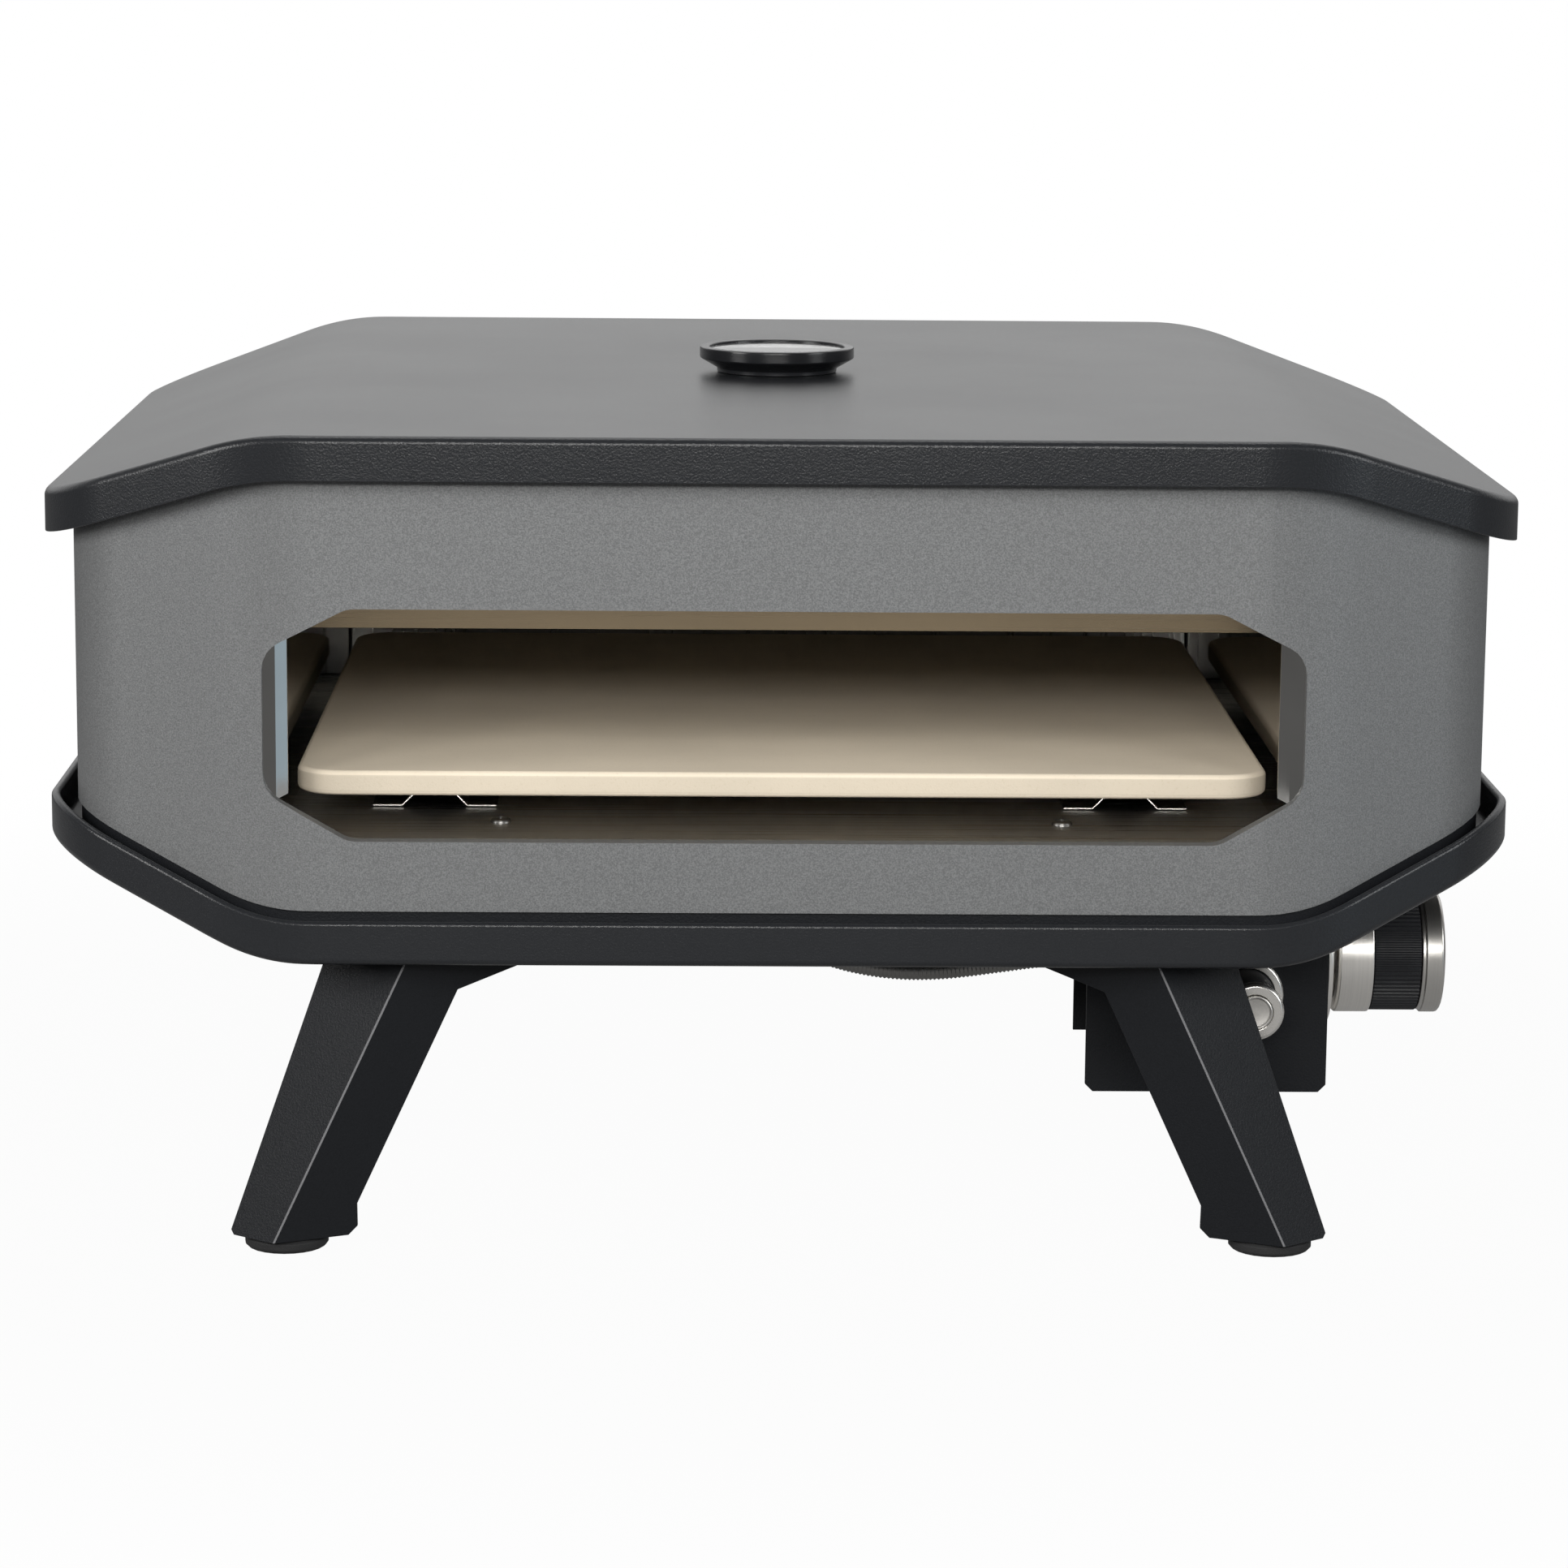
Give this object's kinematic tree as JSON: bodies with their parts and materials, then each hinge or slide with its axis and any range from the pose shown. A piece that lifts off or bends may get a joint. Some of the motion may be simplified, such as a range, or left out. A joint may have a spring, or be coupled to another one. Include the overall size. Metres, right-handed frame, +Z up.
{
  "type": "portable gas pizza oven",
  "caption": "Portable gas pizza oven on four legs: bent steel lid and tray, wide mouth, baking stone on rests, rear burner, side gas knob, push igniter and lid thermometer.",
  "frame": {"origin": "on the floor under the centre of the oven", "axes": "+Z up, the mouth faces -Y, the gas knob is on the +X side"},
  "size_m": [0.655, 0.594, 0.3787],
  "materials": {
    "satin_black_paint": "satin",
    "grey_sparkle_paint": "satin",
    "stainless_liner": "brushed",
    "burner_steel": "satin",
    "cordierite": "matte ceramic",
    "brushed_nickel": "brushed",
    "black_plastic": "matte",
    "brass_fittings": "satin",
    "hose_steel": "satin",
    "ceramic": "glazed",
    "black_rubber": "matte",
    "dial_white": "matte",
    "needle_red": "satin",
    "clear_glass": "clear"
  },
  "bodies": {
    "oven": {"lid_shell": "satin_black_paint", "base_tray": "satin_black_paint", "base_frame": "satin_black_paint", "control_bracket": "satin_black_paint", "leg_front_left": "satin_black_paint", "leg_front_right": "satin_black_paint", "leg_rear_left": "satin_black_paint", "leg_rear_right": "satin_black_paint", "thermometer_case": "satin_black_paint", "front_panel": "grey_sparkle_paint", "side_panel_left": "grey_sparkle_paint", "side_panel_right": "grey_sparkle_paint", "rear_panel": "grey_sparkle_paint", "chamber_floor": "stainless_liner", "chamber_wall_left": "stainless_liner", "chamber_wall_right": "stainless_liner", "chamber_back_wall": "stainless_liner", "chamber_ceiling": "stainless_liner", "flame_guard": "stainless_liner", "stone_rest_left": "stainless_liner", "stone_rest_right": "stainless_liner", "burner_tube": "burner_steel", "burner_support_left": "burner_steel", "burner_support_right": "burner_steel", "mixing_tube": "burner_steel", "flame_sensor": "burner_steel", "thermometer_probe": "burner_steel", "thermometer_nut": "burner_steel", "knob_bezel": "brushed_nickel", "igniter_base_ring": "brushed_nickel", "igniter_bezel": "brushed_nickel", "air_shutter": "brushed_nickel", "igniter_barrel": "black_plastic", "igniter_nut": "black_plastic", "gas_valve": "brass_fittings", "gas_inlet": "brass_fittings", "inlet_lock_nut": "brass_fittings", "gas_jet": "brass_fittings", "hose_nut_valve": "brass_fittings", "hose_nut_jet": "brass_fittings", "gas_hose": "hose_steel", "spark_electrode": "ceramic", "foot_front_left": "black_rubber", "foot_front_right": "black_rubber", "foot_rear_left": "black_rubber", "foot_rear_right": "black_rubber", "thermometer_dial": "dial_white", "thermometer_glass": "clear_glass"},
    "baking_stone": {"baking_stone": "cordierite"},
    "valve_spindle": {"valve_spindle": "brass_fittings"},
    "gas_knob": {"knob_base_ring": "brushed_nickel", "knob_grip": "black_plastic", "knob_end_cap": "brushed_nickel"},
    "igniter_button": {"igniter_button": "brushed_nickel"},
    "thermometer_needle": {"thermometer_needle": "needle_red"}
  },
  "joints": [
    {"name": "stone_removal", "type": "slide", "parent": "oven", "child": "baking_stone", "axis": [0, -0.9929, 0.1191], "range_m": [0, 0.46]},
    {"name": "knob_push", "type": "slide", "parent": "oven", "child": "valve_spindle", "axis": [-1, 0, 0], "range_m": [0, 0.0025], "stiffness_N_per_m": 1500, "springref_m": -0.001},
    {"name": "knob_turn", "type": "hinge", "parent": "valve_spindle", "child": "gas_knob", "pos_m": [0.2583, -0.14, 0.111], "axis": [1, 0, 0], "range_deg": [0, 225]},
    {"name": "igniter_press", "type": "slide", "parent": "oven", "child": "igniter_button", "axis": [0, 1, 0], "range_m": [0, 0.003], "stiffness_N_per_m": 1500, "springref_m": -0.001},
    {"name": "needle_turn", "type": "hinge", "parent": "oven", "child": "thermometer_needle", "pos_m": [0, 0, 0.3716], "axis": [0, 0, 1], "range_deg": [-270, 0]}
  ]
}
